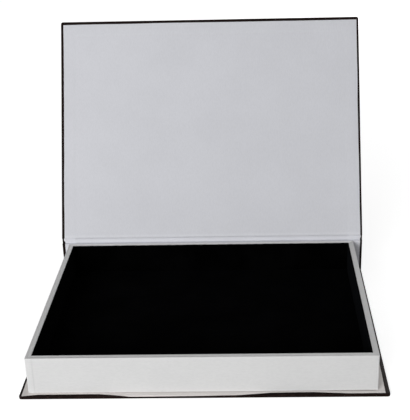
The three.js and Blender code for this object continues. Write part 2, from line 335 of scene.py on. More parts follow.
def boardMaterial():
    # grey pulp: flecks of two sizes and a rough, open surface
    made, tree, shader = newMaterial("bookboard", boardLook["dark"], 0.95, specular=0.2)
    pulp = noiseNode(tree, boardLook["pulp"], 5, 0.7, stretch=(1, 1, 2.5))
    fleck = noiseNode(tree, boardLook["fleck"], 2)
    tone = ramp(tree, pulp.outputs["Fac"], 0.35, 0.68, (boardLook["dark"], boardLook["light"]))
    tree.links.new(tone, shader.inputs["Base Color"])
    bumps(tree, shader, [(pulp.outputs["Fac"], boardLook["pulpDepth"], 0.5),
                         (fleck.outputs["Fac"], boardLook["fleckDepth"], 0.4)])
    return made


velvetLook = {
    "pile": (0.0006, 0.0006, 0.0006),
    "brushed": (0.0014, 0.0014, 0.0015),
    "sheen": 0.007,
    "sheenTint": (0.80, 0.86, 1.0),
    "brush": 26,              # waves per metre, like the next two
    "tips": 2400,
    "lay": 300,
    "tipDepth": 0.18,         # millimetres
    "layDepth": 0.25,
}


def velvetMaterial():
    # pile tips as a very fine noise, the lay of the pile as a stretched one, and brushed patches a
    # little lighter
    made, tree, shader = newMaterial("velvet", velvetLook["pile"], 1.0, specular=0.0,
                                     sheen=velvetLook["sheen"], sheenRoughness=0.45,
                                     sheenTint=velvetLook["sheenTint"])
    brush = noiseNode(tree, velvetLook["brush"], 4, 0.6)
    tips = noiseNode(tree, velvetLook["tips"], 3, 0.7)
    lay = noiseNode(tree, velvetLook["lay"], 3, 0.6, stretch=(1, 0.35, 1))
    tone = ramp(tree, brush.outputs["Fac"], 0.42, 0.66, (velvetLook["pile"], velvetLook["brushed"]))
    tree.links.new(tone, shader.inputs["Base Color"])
    bumps(tree, shader, [(lay.outputs["Fac"], velvetLook["layDepth"], 0.4),
                         (tips.outputs["Fac"], velvetLook["tipDepth"], 0.7)])
    return made


leather = leatherMaterial()
liningPaper = paperMaterial("lining_paper", liningLook, (1, 0.35, 0.35))
# the lining paper again, painted warmer and lighter for the bounce light on the base
warmLitLiningPaper = paperMaterial("lining_paper_warm_lit", warmLitLiningLook, (1, 0.35, 1))
wrapPaper = paperMaterial("wrap_paper", wrapLook, (0.35, 0.35, 1))
bookboard = boardMaterial()
velvet = velvetMaterial()
print("materials made")


def finish(piece, material, body=None, nodes=()):
    # a piece's material, the body it rides on and the nodes it stands for
    piece.data.materials.clear()
    piece.data.materials.append(material)
    if body:
        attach(piece, body)
    if nodes:
        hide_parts(*nodes)
    return piece


# The line that the cover follows, seen from the side
foldReach = 1.5                                    # the fold bends this far to each side of its middle
lidBoardGap = 1.5                                  # from the axis to the lid board's edge
lidAlong = np.array([-math.cos(opening), math.sin(opening)])      # from the fold to the lid's fore-edge
lean = (opening - math.pi / 2) / 2
corner = np.array([foldY, foldZ]) + skin * np.array([1.0, -math.tan(lean)])
flatEnd = spineY - creaseBend - foreY
creaseEnd = flatEnd + creaseBend * math.pi / 2
foldPlace = creaseEnd + corner[1] - creaseBend
lidLength = (foldY - foreY) - float((corner - [foldY, foldZ]) @ lidAlong)
caseLength = foldPlace + lidLength
baseBoardEnd = extent("base_board")[1][1] - foreY
spineBoardStart = creaseEnd + spineBoardLow - creaseBend
spineBoardEnd = creaseEnd + spineBoardHigh - creaseBend
lidBoardStart = caseLength - (foldY - foreY) + lidBoardGap


def casePath(s):
    # outer face of the cover: straight back from the fore-edge, a quarter circle, straight up,
    # a parabola between the two sides of the fold, and straight on along the lid.
    # Gives y, z and the direction (dy, dz) at distance s.
    s = np.asarray(s, float)
    turn = np.clip((s - flatEnd) / creaseBend, 0, math.pi / 2)
    bend = np.clip((s - foldPlace + foldReach) / (2 * foldReach), 0, 1)
    inFlat, inCrease = s < flatEnd, s < creaseEnd
    below, inFold = s < foldPlace - foldReach, s < foldPlace + foldReach
    low, high = corner - [0, foldReach], corner + foldReach * lidAlong
    curve = [(1 - bend) ** 2 * low[k] + 2 * bend * (1 - bend) * corner[k] + bend ** 2 * high[k]
             for k in (0, 1)]
    past = s - foldPlace
    y = np.select([inFlat, inCrease, below, inFold],
                  [foreY + s, spineY - creaseBend + creaseBend * np.sin(turn),
                   np.full_like(s, spineY), curve[0]], corner[0] + past * lidAlong[0])
    z = np.select([inFlat, inCrease, below, inFold],
                  [np.zeros_like(s), creaseBend * (1 - np.cos(turn)),
                   creaseBend + s - creaseEnd, curve[1]], corner[1] + past * lidAlong[1])
    dy = np.where(s < creaseEnd, np.cos(turn), bend * lidAlong[0])
    dz = np.where(s < creaseEnd, np.sin(turn), (1 - bend) + bend * lidAlong[1])
    size = np.hypot(dy, dz)
    return y, z, dy / size, dz / size


def casePoint(x, s, level):
    # the point at width x and distance s, level millimetres in from the outer face of the cover
    x, s, level = np.broadcast_arrays(x, s, level)
    y, z, dy, dz = casePath(s)
    return place(x, y - level * dz, z + level * dy)


cover = {
    "thickness": 0.4,
    "edgeBend": 0.6,          # radius of the leatherette round a board's edge
    "cornerRadius": 2.5,
    "turnIn": 14.0,
    "gapLevel": 0.8,          # two thicknesses pressed together between the boards
    "stepRun": 0.35,          # the turn-ins step down over this length at a board's edge
    "hingeHalf": 2.0,         # the hinge piece reaches this far each side of the fold
    "slack": 0.12,            # how far an edge wanders
    "steadyRun": 10,          # and it starts to over this length from a corner
    "leftEdge": (170, 11),    # each wander's length and seed
    "rightEdge": (170, 12),
    "baseForeEdge": (210, 21),
    "lidForeEdge": (210, 22),
}


def edgeSection(level):
    # a wrapped edge, from the end of the turn-in over two quarter circles to the outer face:
    # distance in from the edge and level, outside and inside, and how worn each place is
    level = np.asarray(level, float)[..., None]
    radius = np.minimum(cover["edgeBend"], level / 2)
    turn = np.linspace(0, math.pi / 2, 6)
    away = radius + (cover["turnIn"] - radius) * np.array([1.0, 0.55, 0.2])
    flat = np.ones((*level.shape[:-1], 3))
    d = np.concatenate([away, radius * (1 - np.sin(turn)), radius * (1 - np.cos(turn)),
                        away[..., ::-1]], -1)
    n = np.concatenate([level * flat, level - radius * (1 - np.cos(turn)),
                        radius * (1 - np.sin(turn)), 0 * flat], -1)
    inner = np.maximum(radius - cover["thickness"], 0.05)
    dIn = np.concatenate([away, radius - inner * np.sin(turn), radius - inner * np.cos(turn),
                          away[..., ::-1]], -1)
    nIn = np.concatenate([(level - cover["thickness"]) * flat, level - radius + inner * np.cos(turn),
                          radius - inner * np.sin(turn), cover["thickness"] * flat], -1)
    worn = np.concatenate([[0, 0, 0.1], 0.35 + 0.65 * np.sin(turn), 0.35 + 0.65 * np.cos(turn),
                           [0.1, 0, 0]])
    return d, n, dIn, nIn, worn


def edgeSlack(x, s, inset):
    # how far the left or the right edge lies inside its line, fading out over the turn-in
    side = np.where(np.asarray(x) < 0, wander(s, *cover["leftEdge"]), wander(s, *cover["rightEdge"]))
    return cover["slack"] * (0.5 + 0.5 * side) * (1 - inset / cover["turnIn"])


def wrappedBoard(name, caseOf, length, foreEdge):
    # the wrapped edge carried round three sides of a board, and the sheet between them;
    # v is the distance from the fore-edge, caseOf turns it into distance along the case, and
    # foreEdge names the wander of the front edge
    r, reach, steady = cover["cornerRadius"], cover["turnIn"], cover["steadyRun"]
    side = spread((length, 7), (reach, 2.5), (r, 1))
    front = spread((-caseHalf + r, 2.5), (-caseHalf + reach, 7), (caseHalf - reach, 2.5),
                   (caseHalf - r, 1))
    arc = np.linspace(0, math.pi / 2, 8)[1:-1]
    d, n, dIn, nIn, worn = edgeSection(turnInTop)

    def ring(inset, level):
        # the outline moved in by inset; past the corner's radius its corners are mitred
        inset = inset[:, None]
        far, radius = np.maximum(r, inset), np.maximum(r - inset, 0)
        sideV = np.maximum(side[None], far)
        x = np.concatenate([-caseHalf + inset + 0 * sideV, -caseHalf + far - radius * np.cos(arc),
                            np.clip(front[None], -caseHalf + far, caseHalf - far),
                            caseHalf - far + radius * np.sin(arc),
                            caseHalf - inset + 0 * sideV], 1)
        v = np.concatenate([sideV, far - radius * np.sin(arc), inset + 0 * front[None],
                            far - radius * np.cos(arc), sideV[:, ::-1]], 1)
        atSide = smooth((v - r) / steady) * (caseHalf - np.abs(x) < inset + 0.01)
        atFront = smooth((caseHalf - r - np.abs(x)) / steady)
        loose = cover["slack"] * (1 - inset / reach) * (0.5 + 0.5 * wander(x, *cover[foreEdge]))
        return casePoint(x - np.sign(x) * atSide * edgeSlack(x, caseOf(v), inset),
                         caseOf(v + atFront * loose), level[:, None])

    rim = np.concatenate([ring(dIn, nIn)[::-1], ring(d, n)])
    wearAndPaintedShading = np.concatenate([0 * worn, worn])[:, None] * np.ones(rim.shape[1])
    sheetX, sheetV = np.meshgrid(np.unique(np.clip(front, -caseHalf + reach, caseHalf - reach)),
                                 np.unique(np.maximum(side, reach)))
    return shell(name, {"points": rim, "wearAndPaintedShading": wearAndPaintedShading},
                 {"points": casePoint(sheetX, caseOf(sheetV), 0.0)},
                 {"points": casePoint(sheetX, caseOf(sheetV), cover["thickness"])})


def onBoards(s):
    # 1 where a board lies under the turn-in and 0 in the gaps, with short slopes between
    run = cover["stepRun"]
    onBase = 1 - smooth((s - baseBoardEnd) / run)
    onSpine = smooth((s - spineBoardStart + run) / run) * (1 - smooth((s - spineBoardEnd) / run))
    onLid = smooth((s - lidBoardStart + run) / run)
    return onBase + onSpine + onLid


def wrappedStrip(name, s):
    # the same cover where it has no fore-edge: a section with two wrapped edges, carried along s
    level = cover["gapLevel"] + (turnInTop - cover["gapLevel"]) * onBoards(s)
    d, n, dIn, nIn, worn = edgeSection(level)
    left, right = -caseHalf + d, caseHalf - d
    leftIn, rightIn = -caseHalf + dIn, caseHalf - dIn
    along = s[:, None]
    x = np.concatenate([left + edgeSlack(left, along, d), (right - edgeSlack(right, along, d))[:, ::-1],
                        rightIn - edgeSlack(rightIn, along, dIn),
                        (leftIn + edgeSlack(leftIn, along, dIn))[:, ::-1]], 1)
    level = np.concatenate([n, n[:, ::-1], nIn, nIn[:, ::-1]], 1)
    wearAndPaintedShading = np.concatenate([worn, worn[::-1], 0 * worn, 0 * worn])[None] * np.ones((len(s), 1))
    return shell(name, {"points": casePoint(x, along, level), "closeColumns": True, "wearAndPaintedShading": wearAndPaintedShading})


baseLeatherEnd = flatEnd - 3                       # the seam to the spine's piece, out of sight
hingeStart, hingeEnd = foldPlace - cover["hingeHalf"], foldPlace + cover["hingeHalf"]
spineStops = spread((baseLeatherEnd, 0.6), (baseBoardEnd - 0.1, 0.05), (flatEnd + 0.2, 0.15),
                    (creaseEnd + 0.2, 0.8), (spineBoardStart - 0.4, 0.05), (spineBoardStart + 0.1, 4),
                    (spineBoardEnd - 0.1, 0.05), (spineBoardEnd + 0.4, 0.3), (hingeStart, 1))
hingeStops = spread((hingeStart, 0.1), (lidBoardStart - 0.6, 0.05), (lidBoardStart + 0.1, 0.1),
                    (hingeEnd, 1))
finish(wrappedBoard("base_leather", lambda v: v, baseLeatherEnd, "baseForeEdge"),
       leather, "base", ["base_cover"])
finish(wrappedStrip("spine_leather", spineStops), leather, "base",
       ["spine_cover", "lower_crease"])
finish(wrappedBoard("lid_leather", lambda v: caseLength - v, caseLength - hingeEnd, "lidForeEdge"),
       leather, "lid", ["lid_cover"])
hingeLeather = finish(wrappedStrip("hinge_leather", hingeStops), leather,
                      nodes=["hinge_fold"])
print("leatherette cover made")


lining = {
    "thickness": 0.2,
    "gridInset": 2.5,                 # where the sample columns end before the insets below move them
    "leftInset": 3.1,
    "rightInset": 2.4,
    "foldInset": 1.6,                 # both of these at the fold
    "foldInsetRun": 1.3,
    "foreInset": 3.35,
    "sinkRun": 2.4,                   # the paper slopes down over this length inside the turn-ins
    # levels of its underside, each after the first with the two ends of the slope that leads to it,
    # from the fold: the spine board, the gap, the lid board's edge, its shoulder and its face
    "between": (3.1, (0.5, -3.95, -3.6), (2.6, 1.05, 1.4), (3.2, 1.4, 2.3), (2.95, 3.2, 8.2)),
    "onTurnIns": (3.1, (0.9, -3.85, -3.5), (3.1, 0.95, 1.3)),
    # painted shading marks: middle past the fold, half width, and how much lighter or darker
    "rimShade": (-3.4, 0.6, -0.20),
    "foldBand": (-1.3, 1.3, 0.03),
    "grooveShade": (0.9, 0.9, -0.20),
    "shoulderHighlight": (3.4, 1.3, 0.12),
    "cockle": 0.15,
    "slack": 0.3,
    "cockles": (95, 77),              # length and seed of the unevenness, and of each edge's wander
    "leftEdge": (150, 31),
    "rightEdge": (190, 32),
    "foreEdge": (230, 33),
}


def bothFaces(under, over, wearAndPaintedShading):
    # a thin sheet's grid: each row runs out along its underside and back along its top
    return {"points": np.concatenate([under, over[:, ::-1]], 1), "closeColumns": True,
            "wearAndPaintedShading": np.concatenate([wearAndPaintedShading, wearAndPaintedShading[:, ::-1]], 1)}


def slopes(key, past):
    # a first level, then for each later one a smooth slope between its two places
    first, *later = lining[key]
    level = first + 0 * past
    for target, start, end in later:
        level = level + (target - level) * smooth((past - start) / (end - start))
    return level


def liningSheet(name, s):
    # a thin sheet over the turn-ins at its sides and on the boards between them, down over the spine
    # board's edge into the gap at the fold and up over the lid board's edge, its thickness square to
    # its slope; rows run along s and columns go round the sheet's section
    window, gridInset = caseHalf - cover["turnIn"], lining["gridInset"]
    half = spread((0, 9), (window - 2.8, 0.4), (window + 0.6, 1.5), (caseHalf - 4, 0.25),
                  (caseHalf - gridInset, 1))
    share = np.concatenate([-half[:0:-1], half])
    atSide = np.where(share < 0, lining["leftInset"], lining["rightInset"])
    nearFold = np.exp(-((s[:, None] - foldPlace) / lining["foldInsetRun"]) ** 2)
    inset = atSide + (lining["foldInset"] - atSide) * nearFold
    leftSlack, rightSlack = (wander(s, *lining[key])[:, None] for key in ("leftEdge", "rightEdge"))
    slack = lining["slack"] * np.where(share < 0, leftSlack, rightSlack)
    edge = smooth((np.abs(share) - window) / (caseHalf - gridInset - window))
    x = share + edge * (np.sign(share) * (gridInset - inset) + slack)
    toFore = caseLength - lining["foreInset"] - s[:, None]
    along = s[:, None] + lining["slack"] * wander(x, *lining["foreEdge"]) * smooth(1 - toFore / 12)
    cockle = (lining["cockle"] * ripple(x, along, *lining["cockles"])
              * smooth((along - foldPlace) / 30) * smooth((caseHalf - np.abs(x)) / 30))
    inside = (smooth((window - np.abs(x)) / lining["sinkRun"])
              * smooth((caseLength - cover["turnIn"] - along) / lining["sinkRun"]))

    def underside(past):
        atSides = slopes("onTurnIns", past)
        return atSides + (slopes("between", past) - atSides) * inside + cockle

    past, step = along - foldPlace, 0.02
    level = underside(past)
    slope = (underside(past + step) - underside(past - step)) / (2 * step)
    size = np.hypot(1, slope)
    under = casePoint(x, along, level)
    over = casePoint(x, along - lining["thickness"] * slope / size, level + lining["thickness"] / size)
    # painted shade along the rim and in the groove, a painted highlight on the lid board's shoulder,
    # and over the fold a lighter band that is partly the paper's crease and partly painted light
    marks = [lining[key] for key in ("rimShade", "foldBand", "grooveShade", "shoulderHighlight")]
    wearAndPaintedShading = sum(much * inside ** (much < 0) * np.exp(-((past - middle) / width) ** 2)
               for middle, width, much in marks)
    return shell(name, bothFaces(under, over, wearAndPaintedShading))


spineLiningStops = spread((creaseEnd + liningTop - creaseBend + 0.15, 3), (foldPlace - 4.2, 0.05),
                          (foldPlace - 3.3, 0.3), (hingeStart, 1))
lidTurnIn = caseLength - cover["turnIn"]
lidLiningStops = spread((hingeEnd, 0.2), (foldPlace + 3.4, 0.6), (foldPlace + 9, 5),
                        (lidTurnIn - 2.8, 0.4), (lidTurnIn + 0.4, 2.5), (caseLength - 5, 0.3),
                        (caseLength - lining["foreInset"], 1))
finish(liningSheet("spine_lining_paper", spineLiningStops), liningPaper, "base",
       ["spine_lining"])
finish(liningSheet("lid_lining_paper", lidLiningStops), liningPaper, "lid",
       ["lid_lining"])
hingeLining = finish(liningSheet("hinge_lining_paper", hingeStops), liningPaper)

# the cover's and the lining's pieces over the fold, one sheet each, ride on no body and have their
# placing baked into their meshes
for sheet in (hingeLeather, hingeLining):
    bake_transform(sheet)

baseLining = {
    "leftInset": 2.5,
    "rightInset": 3.2,
    "rightSlant": 1.0,                # the right edge was cut this much further in at the front
    "slantRun": 110,                  # and less and less over this length
    "sideFrom": 120,                  # the two side edges' own shape fades in from this far out,
    "sideRun": 40,                    # over this width
    "sideSlack": 0.25,
    "leftEdge": (160, 6),             # each wander's length and seed
    "rightEdge": (140, 7),
    "cutEdge": (60, 5),
    "cutSlack": 0.12,
    "ripples": (60, 8),
    "rippleRise": 0.04,
    "glue": 0.1,                      # the paper lies this far above the turn-ins
    "mean": -0.1,                     # where the cut edge runs, from the board's front face
    # each feature of the cut edge: middle in x, half width, how far it lies back and how flat it is
    "leftBay": (-118, 42, 3.4, 6),
    "rightBay": (83, 40, 3.9, 4),
    "rightEnd": (158, 34, 1.6, 4),
    "middleLap": (-45, 40, -0.5, 2),
    "footShadow": -0.28,                 # painted shadow along the foot of the tray
}


def baseLiningSheet():
    # rows run from the back to the hand-cut front edge, a sum of bell curves about its mean line;
    # past the board's edge the paper follows a quarter circle and then hangs straight down
    back = extent("base_lining")[1][1]
    low, high = -caseHalf + baseLining["leftInset"], caseHalf - baseLining["rightInset"]
    x = spread((low, 0.4), (low + 2, 2.5), (high - 2, 0.4), (high, 1))
    edge = baseLining["mean"] + baseLining["cutSlack"] * wander(x, *baseLining["cutEdge"])
    for key in ("leftBay", "rightBay", "rightEnd", "middleLap"):
        middle, width, depth, flatness = baseLining[key]
        edge = edge + depth * np.exp(-np.abs((x - middle) / width) ** flatness)
    share = np.concatenate([np.linspace(0, 0.96, 40), np.linspace(0.96, 1, 26)[1:]])[:, None]
    q = (back - foreY) * (1 - share) + edge * share
    slant = baseLining["rightSlant"] * np.clip(1 - q / baseLining["slantRun"], 0, 1)
    leftSlack, rightSlack = (baseLining["sideSlack"] * wander(q, *baseLining[key])
                             for key in ("leftEdge", "rightEdge"))
    sideFrom, sideRun = baseLining["sideFrom"], baseLining["sideRun"]
    rowX = (x + leftSlack * smooth(-(x + sideFrom) / sideRun)
            + (rightSlack - slant) * smooth((x - sideFrom) / sideRun))
    bend = cover["edgeBend"]
    middleBend = bend + (baseLining["glue"] + lining["thickness"] / 2)      # the paper's middle

    def at(level):
        turn = np.clip((bend - q) / middleBend, 0, math.pi / 2)
        hang = np.maximum(bend - q - middleBend * math.pi / 2, 0)
        out = bend + level
        y = np.where(q > bend, foreY + q, foreY + bend - out * np.sin(turn))
        z = np.where(q > bend, turnInTop + level, turnInTop - bend + out * np.cos(turn) - hang)
        return place(rowX, y, z)

    rise = baseLining["rippleRise"] * (1 + ripple(rowX, q, *baseLining["ripples"]))
    lift = baseLining["glue"] + rise * smooth((q - 1.5) / 3)
    under, top = at(lift), at(lift + lining["thickness"])
    foot = extent("tray_wrap")[0][1] - foreY
    # a painted contact shadow along the foot of the tray
    wearAndPaintedShading = baseLining["footShadow"] * np.exp(-((q - foot + 0.3) / 0.8) ** 2) * smooth((rowX + 90) / 90)
    return shell("base_lining_sheet", bothFaces(under, top, wearAndPaintedShading))


finish(baseLiningSheet(), warmLitLiningPaper, "base", ["base_lining"])
print("lining paper made")

trayLow, trayHigh = extent("tray_wrap")
tray = {
    "cornerRadius": 1.2,
    "wrapThickness": 0.25,
    "rimWidth": 5.3,
    "rimBend": 0.55,
    "valley": 0.28,                   # the rim's dip, or at the rear its slope down to its inner edge
    "rearRimLight": 0.50,                 # the rear rim is painted lightest, standing in for light thrown back by the lid, the left one less so, for the light falling on its side, and the right one is painted a little darker, for its shade
    "leftRimLight": 0.22,                 # the left one less so,
    "rightRimShade": -0.10,               # and the right one is a little soiled
    "footTone": 0.17,                 # the paper is lighter along the front's lower fold
    "footHalf": 0.45,                 # half the width of that line
    "innerDrop": 18.0,                # the paper reaches this far down the inside
    "underWidth": 12.0,               # and this far in under the tray
    "leftFlap": 5.6,                  # the side papers lap this far round the front corners
    "rightFlap": 1.6,
    "flapRise": 0.16,
    "flapSoft": 0.5,                  # a flap's edge fades over this width
    "flapTint": 0.055,                # the flaps are a little lighter
    # a flap's edge is painted darker, standing in for the shade of its step
    "flapEdgeShade": -0.14,
    "openEdge": 0.5,                  # the front's lower edge stands off the lining at its right end
    "openFrom": 20,                   # from this x on,
    "openRun": 150,                   # more and more over this length
}


def trayRing(inset, radius, step, endStep):
    # the tray's outline seen from above, moved in by inset and mitred past the corner's radius;
    # one row for each inset. Columns run round the four sides from the front left corner.
    inset = np.asarray(inset, float)[:, None]
    low, high = trayLow[:2], trayHigh[:2]
    far, left = np.maximum(radius, inset), np.maximum(radius - inset, 0)
    arc = np.linspace(0, math.pi / 2, 7)

    def straight(k):
        a, b = low[k] + radius, high[k] - radius
        along = spread((a, endStep), (a + 7, step), (b - 7, endStep), (b, 1))[1:-1]
        return np.clip(along[None], low[k] + far, high[k] - far)

    alongX, alongY = straight(0), straight(1)
    corners = [(low[0] + far, low[1] + far, math.pi), (high[0] - far, low[1] + far, 1.5 * math.pi),
               (high[0] - far, high[1] - far, 0.0), (low[0] + far, high[1] - far, 0.5 * math.pi)]
    sides = [(alongX, low[1] + inset + 0 * alongX), (high[0] - inset + 0 * alongY, alongY),
             (alongX[:, ::-1], high[1] - inset + 0 * alongX),
             (low[0] + inset + 0 * alongY, alongY[:, ::-1])]
    xs, ys = [], []
    for (cx, cy, start), (sideX, sideY) in zip(corners, sides):
        xs += [cx + left * np.cos(start + arc), sideX]
        ys += [cy + left * np.sin(start + arc), sideY]
    return np.concatenate(xs, 1), np.concatenate(ys, 1)


def trayPaper():
    # one sheet: in under the tray, up the outside, over the dipped rim and down the inside,
    # carried round the tray; the flaps at the front corners stand out by their thickness
    bottom, rim, width, bend = trayLow[2], trayHigh[2], tray["rimWidth"], tray["rimBend"]
    turn = np.linspace(0, math.pi / 2, 6)
    across = np.linspace(bend, width - bend, 9)
    dip = tray["valley"] * (1 - np.abs(2 * (across - width / 2) / (width - 2 * bend)))
    foot = bottom + bend
    up = np.concatenate([[foot, foot + 0.5], np.linspace(foot + 1, rim - bend, 12)])
    d = np.concatenate([[tray["underWidth"], 4, 1.5], bend * (1 - np.sin(turn)), 0 * up[1:-1],
                        bend * (1 - np.cos(turn)), across[1:-1],
                        width - bend * (1 - np.sin(turn)), [width, width]])
    z = np.concatenate([[bottom] * 3, bottom + bend * (1 - np.cos(turn)), up[1:-1],
                        rim - bend * (1 - np.sin(turn)), rim - dip[1:-1],
                        rim - bend * (1 - np.cos(turn)), [rim - 8, rim - tray["innerDrop"]]])
    slopeD, slopeZ = np.gradient(d), np.gradient(z)
    size = np.hypot(slopeD, slopeZ)
    inD = d + tray["wrapThickness"] * slopeZ / size
    inZ = z - tray["wrapThickness"] * slopeD / size
    x, y = trayRing(d, tray["cornerRadius"], 6, 0.5)
    inX, inY = trayRing(inD, tray["cornerRadius"], 6, 0.5)
    pastFlap = x - trayLow[0] - tray["leftFlap"]
    beforeFlap = trayHigh[0] - tray["rightFlap"] - x
    soft = tray["flapSoft"]
    onFlap = 2 - smooth(pastFlap / soft) - smooth(beforeFlap / soft)
    onFlapEdge = np.exp(-((pastFlap - soft) / soft) ** 2) + np.exp(-((beforeFlap - soft) / soft) ** 2)
    onFoot = np.exp(-((z - foot) / tray["footHalf"]) ** 2)[:, None]
    onFront = smooth((trayLow[1] + 0.9 - y) / 0.4) * ((z > bottom + 0.2) & (z < rim - 0.1))[:, None]
    # on the front: a lighter tint on the flaps, painted shade along their edges and a lighter line
    # along the lower fold
    wearAndPaintedShading = onFront * (tray["flapTint"] * onFlap + tray["flapEdgeShade"] * onFlapEdge
                      + tray["footTone"] * onFoot)

    def rimSide(x, y, z):
        # 1 on the rear, the left and the right side of the rim, fading at the mitred corners
        left, right, rear = x - trayLow[0], trayHigh[0] - x, trayHigh[1] - y
        onRim = smooth((z - rim + 0.9) / 0.3)
        ends = np.minimum(rear, y - trayLow[1])
        return [onRim * smooth(0.5 + (across - edge) / 0.8) * (edge < 2 * width)
                for edge, across in ((rear, np.minimum(left, right)), (left, ends), (right, ends))]

    def settled(x, y, d, z):
        # the rear rim slopes down to its inner edge in place of its dip, and the front's lower edge
        # rises more and more towards its right end
        d, z = d[:, None], z[:, None]
        dipThere = tray["valley"] * np.clip(1 - np.abs(2 * d - width) / (width - 2 * bend), 0, 1)
        slopeThere = tray["valley"] * np.clip(d / width, 0, 1)
        near = smooth((trayLow[1] + 6 - y) / 5) * np.clip(1 - (z - bottom) / 3, 0, 1)
        return (z + rimSide(x, y, z)[0] * (dipThere - slopeThere)
                + tray["openEdge"] * near * smooth((x - tray["openFrom"]) / tray["openRun"]))

    # painted light on the rear and the left rim, painted shade on the right one
    atRear, atLeft, atRight = rimSide(x, y, z[:, None])
    wearAndPaintedShading = (wearAndPaintedShading + tray["rearRimLight"] * atRear + tray["leftRimLight"] * atLeft
            + tray["rightRimShade"] * atRight)
    z, inZ = settled(x, y, d, z), settled(inX, inY, inD, inZ)
    y = y - tray["flapRise"] * onFlap * onFront
    return shell("tray_paper", {"points": np.concatenate([place(x, y, z), place(inX, inY, inZ)[::-1]]),
                                "closeRows": True, "closeColumns": True,
                                "wearAndPaintedShading": np.concatenate([wearAndPaintedShading, wearAndPaintedShading[::-1]])})


finish(trayPaper(), wrapPaper, "base", ["tray_wrap"])
print("tray paper made")

wallVelvet = {
    "inset": 5.33,
    "thickness": 1.07,
    "topBend": 0.3,
    "rise": 0.3,                      # the pile stands this far above the cloth
    "rearRise": 0.25,                 # and the rear strip this much higher
    "fuzz": 0.11,                     # how far its top edge wanders
    "tufts": (9, 41),                 # length and seed of the two wanders in it
    "swell": (47, 42),
    "swellShare": 0.8,
}


def velvetWalls():
    # a soft-topped strip round the inside of the walls, whose top edge wanders by its pile
    bottom, top = extent("front_velvet")[0][2], extent("front_velvet")[1][2] + wallVelvet["rise"]
    bend, inset = wallVelvet["topBend"], wallVelvet["inset"]
    outset = inset + wallVelvet["thickness"]
    turn = np.linspace(0, math.pi / 2, 5)
    down = np.linspace(top - bend, bottom, 9)
    d = np.concatenate([inset + 0 * down, inset + bend * (1 - np.cos(turn[1:])),
                        outset - bend * (1 - np.sin(turn)), outset + 0 * down[1:]])
    z = np.concatenate([down[::-1], top - bend * (1 - np.sin(turn[1:])),
                        top - bend * (1 - np.cos(turn)), down[1:]])
    x, y = trayRing(d, 0.01, 2.0, 1.0)
    step = np.hypot(np.diff(x[0], prepend=x[0, -1]), np.diff(y[0], prepend=y[0, -1]))
    around = np.cumsum(step)
    nearTop = smooth((z - top + 3) / 3)[:, None]
    rear = smooth((y - trayHigh[1] + outset + 4) / 4)
    swell = wallVelvet["swellShare"] * wander(around, *wallVelvet["swell"])
    fuzz = wallVelvet["fuzz"] * (wander(around, *wallVelvet["tufts"]) + swell)
    z = z[:, None] + nearTop * (wallVelvet["rearRise"] * rear + fuzz)
    return shell("wall_velvet", {"points": place(x, y, z), "closeRows": True, "closeColumns": True},
                 bends=60)


finish(velvetWalls(), velvet, "base",
       ["front_velvet", "rear_velvet", "left_velvet", "right_velvet"])

floorPad = {
    "crown": 0.5,
    "edge": 1.6,                      # radius of the rolled-off edge
    "edgeDrop": 0.95,                 # share of the velvet's height that the edge comes down by
    "unevenness": 0.25,
    "ripples": (80, 51),              # its length and seed
    "levelRun": 12,                   # and it fades out over this width to the edge
    "fill": 0.3,
}


def padVelvet():
    # a height over the pad's rectangle: a low crown, edges rolled off in a quarter circle, and
    # the slow unevenness of hand-laid velvet; its underside is flat
    low, high = extent("floor_velvet")
    cut = floorPad["edge"]

    def stops(k):
        a, b = low[k], high[k]
        return spread((a, 0.2), (a + cut, 1.2), (a + 12, 5), (b - 12, 1.2), (b - cut, 0.2), (b, 1))

    x, y = np.meshgrid(stops(0), stops(1))
    inward = np.minimum(np.minimum(x - low[0], high[0] - x), np.minimum(y - low[1], high[1] - y))
    roll = 1 - np.sqrt(np.clip(1 - (1 - np.clip(inward / cut, 0, 1)) ** 2, 0, 1))
    half, middle = (high - low) / 2, (high + low) / 2
    crown = (1 - ((x - middle[0]) / half[0]) ** 2) * (1 - ((y - middle[1]) / half[1]) ** 2)
    uneven = floorPad["unevenness"] * ripple(x, y, *floorPad["ripples"])
    z = (high[2] - floorPad["edgeDrop"] * (high[2] - low[2]) * roll
         + floorPad["crown"] * np.clip(crown, 0, 1) ** 0.7
         + uneven * np.clip(inward / floorPad["levelRun"], 0, 1))
    top, bottom = place(x, y, z), place(x, y, low[2])
    edges = [np.concatenate([grid[0], grid[1:, -1], grid[-1, -2::-1], grid[-2:0:-1, 0]])
             for grid in (top, bottom)]
    return shell("floor_pad_velvet", {"points": top}, {"points": bottom},
                 {"points": np.stack(edges), "closeColumns": True}, bends=60)


padPiece = finish(padVelvet(), velvet, "base", ["floor_velvet"])
print("velvet made")

# The boards keep their CAD shapes
for name in ("base_board", "spine_board", "lid_board", "tray_front_wall", "tray_rear_wall",
             "tray_left_wall", "tray_right_wall", "tray_floor", "floor_card"):
    board = frame["nodes"][name]
    board.data.materials.clear()
    board.data.materials.append(bookboard)
print("boards finished")

studio = {
    "floorRadius": 6000,              # millimetres, like the next one
    "floorDrop": 0.2,                 # just under the box
    "floorSides": 96,
    "floorColour": 0.50,
    "seenColour": 0.52,               # the floor as the camera sees it, under a glow that makes
    "floorGlow": 0.80,                # the open floor white
    "whiteFrom": 0.8,                 # metres from the box, where the floor starts to turn white
    "whiteAt": 2.6,
    "worldLevel": 0.10,
    "key": ((-0.72, -1.60, 0.70), 1.0, 30.0),     # each lamp's place and width in metres, and power
    "fill": ((1.5, 0.25, 0.4), 1.0, 5.0),
    "back": ((0.8, 1.6, 0.45), 1.2, 14.0),
    "lampAim": (0, 0, 0.05),
}


